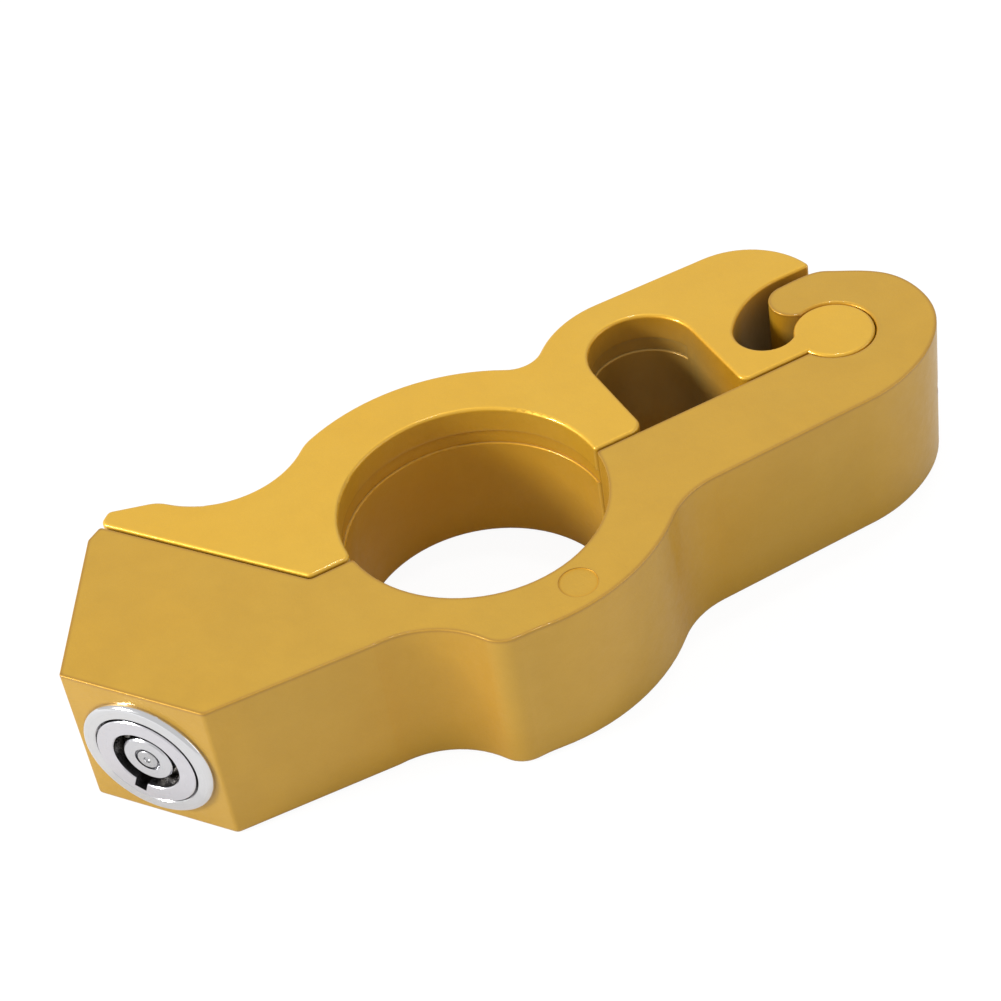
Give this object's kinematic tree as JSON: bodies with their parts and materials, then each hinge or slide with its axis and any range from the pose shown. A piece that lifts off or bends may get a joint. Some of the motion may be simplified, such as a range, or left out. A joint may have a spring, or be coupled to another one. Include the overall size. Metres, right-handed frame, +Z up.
{
  "type": "trailer coupler lock",
  "caption": "Hinged clamp lock for a trailer coupler: two gold cast halves close into a ring, held by a key lock in the end of one half.",
  "frame": {"origin": "centre of the ring bore, at mid thickness", "axes": "+Z up along the bore, out of the top face; +X from the bore towards the hinge; +Y from the front half (with the lock) towards the strap"},
  "size_m": [0.1296, 0.0532, 0.0232],
  "materials": {
    "gold_casting": "satin gold coat over cast metal",
    "lock_chrome": "satin chrome plate",
    "pin_steel": "ground steel",
    "hard_steel": "hardened steel",
    "black_steel": "black oxide",
    "spring_steel": "drawn wire",
    "turned_brass": "turned",
    "seal_rubber": "matte"
  },
  "bodies": {
    "body": {"body_casting": "gold_casting", "lock_sleeve": "lock_chrome", "lock_barrel": "lock_chrome", "pin_block": "turned_brass", "driver_pins": "turned_brass", "driver_springs": "spring_steel", "block_pin": "hard_steel", "bezel_gasket": "seal_rubber", "thrust_washer": "turned_brass", "guide_tube": "pin_steel", "bolt_bush": "turned_brass", "sleeve_screw": "black_steel", "guide_screw": "black_steel", "knuckle_dowel": "hard_steel"},
    "strap": {"strap_casting": "gold_casting", "strike_bush": "hard_steel"},
    "rotor": {"rotor": "pin_steel", "drill_stop": "hard_steel", "cam_drum": "pin_steel", "drum_pin": "hard_steel"},
    "pins": {"key_pins": "pin_steel"},
    "bolt": {"lock_bolt": "hard_steel", "bolt_pin": "hard_steel"}
  },
  "joints": [
    {"name": "strap_swing", "type": "hinge", "parent": "body", "child": "strap", "pos_m": [0.0571, 0.00065, 0], "axis": [0, 0, -1], "range_deg": [0, 45]},
    {"name": "key_turn", "type": "hinge", "parent": "body", "child": "rotor", "pos_m": [-0.05194, -0.00603, 0], "axis": [0.8, 0.6, 0], "range_deg": [0, 90]},
    {"name": "bolt_throw", "type": "slide", "parent": "body", "child": "bolt", "axis": [0.8, 0.6, 0], "range_m": [0, 0.0062]},
    {"name": "pin_press", "type": "slide", "parent": "rotor", "child": "pins", "axis": [0.8, 0.6, 0], "range_m": [0, 0.001], "stiffness_N_per_m": 1500, "springref_m": -0.001}
  ],
  "couplings": [
    {"joint": "key_turn", "follows": "bolt_throw", "rad_per_m": 253.35}
  ]
}
